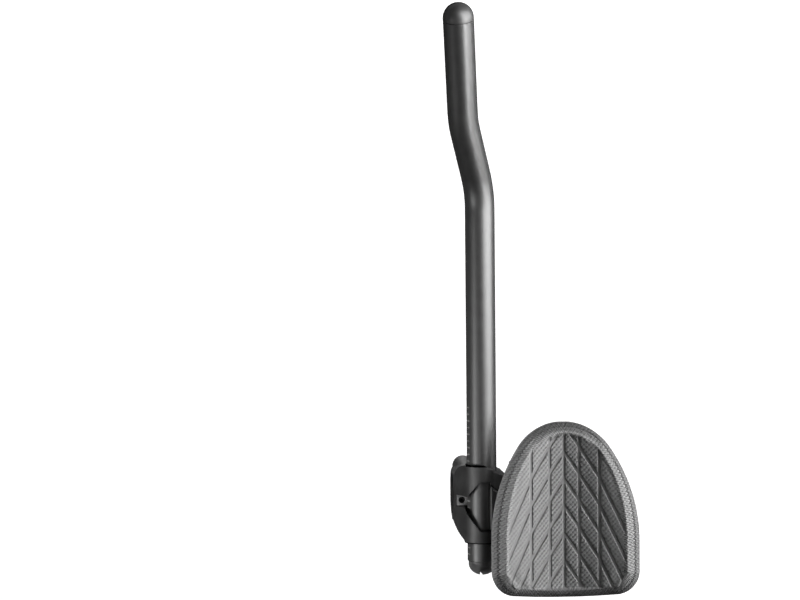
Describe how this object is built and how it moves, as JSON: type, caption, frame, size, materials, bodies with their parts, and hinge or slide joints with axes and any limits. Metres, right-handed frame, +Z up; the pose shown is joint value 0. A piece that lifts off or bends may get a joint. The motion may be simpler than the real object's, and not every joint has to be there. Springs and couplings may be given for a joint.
{
  "type": "aero handlebar extension",
  "caption": "Clip-on aero handlebar extension: bent tube in a black bracket that clamps a round handlebar, with a cupped forearm pad beside it.",
  "frame": {"origin": "centre of the handlebar bore, straight under the axis of the extension tube", "axes": "+Y forward along the straight part of the tube, +X outboard along the handlebar, +Z up"},
  "size_m": [0.142, 0.4321, 0.1254],
  "materials": {
    "anodised_grey": "satin anodised",
    "cap_grey": "satin",
    "plug_black": "satin",
    "anodised_black": "satin black anodised",
    "carrier_black": "satin black anodised",
    "wedge_metal": "satin",
    "bolt_steel": "satin",
    "cup_plastic": "fine grain",
    "grip_tape": "hooked pile",
    "pad_backing": "looped pile",
    "pad_fabric": "knitted mesh over foam"
  },
  "bodies": {
    "bracket": {"bracket_body": "anodised_black", "bar_clamp_cap": "anodised_black", "bar_clamp_bolts": "bolt_steel", "bar_clamp_washers": "bolt_steel", "binder_wedge": "wedge_metal", "binder_screw": "bolt_steel", "armrest_carrier": "carrier_black", "carrier_bolts": "bolt_steel", "armrest_cup": "cup_plastic", "armrest_bolts": "bolt_steel", "armrest_washers": "bolt_steel", "hook_patches": "grip_tape", "loop_backing": "pad_backing", "armrest_pad": "pad_fabric"},
    "extension": {"extension_tube": "anodised_grey", "front_end_cap": "cap_grey", "rear_end_plug": "plug_black"}
  },
  "joints": [
    {"name": "extension_slide", "type": "slide", "parent": "bracket", "child": "extension", "axis": [0, 1, 0], "range_m": [-0.042, 0.014]}
  ]
}
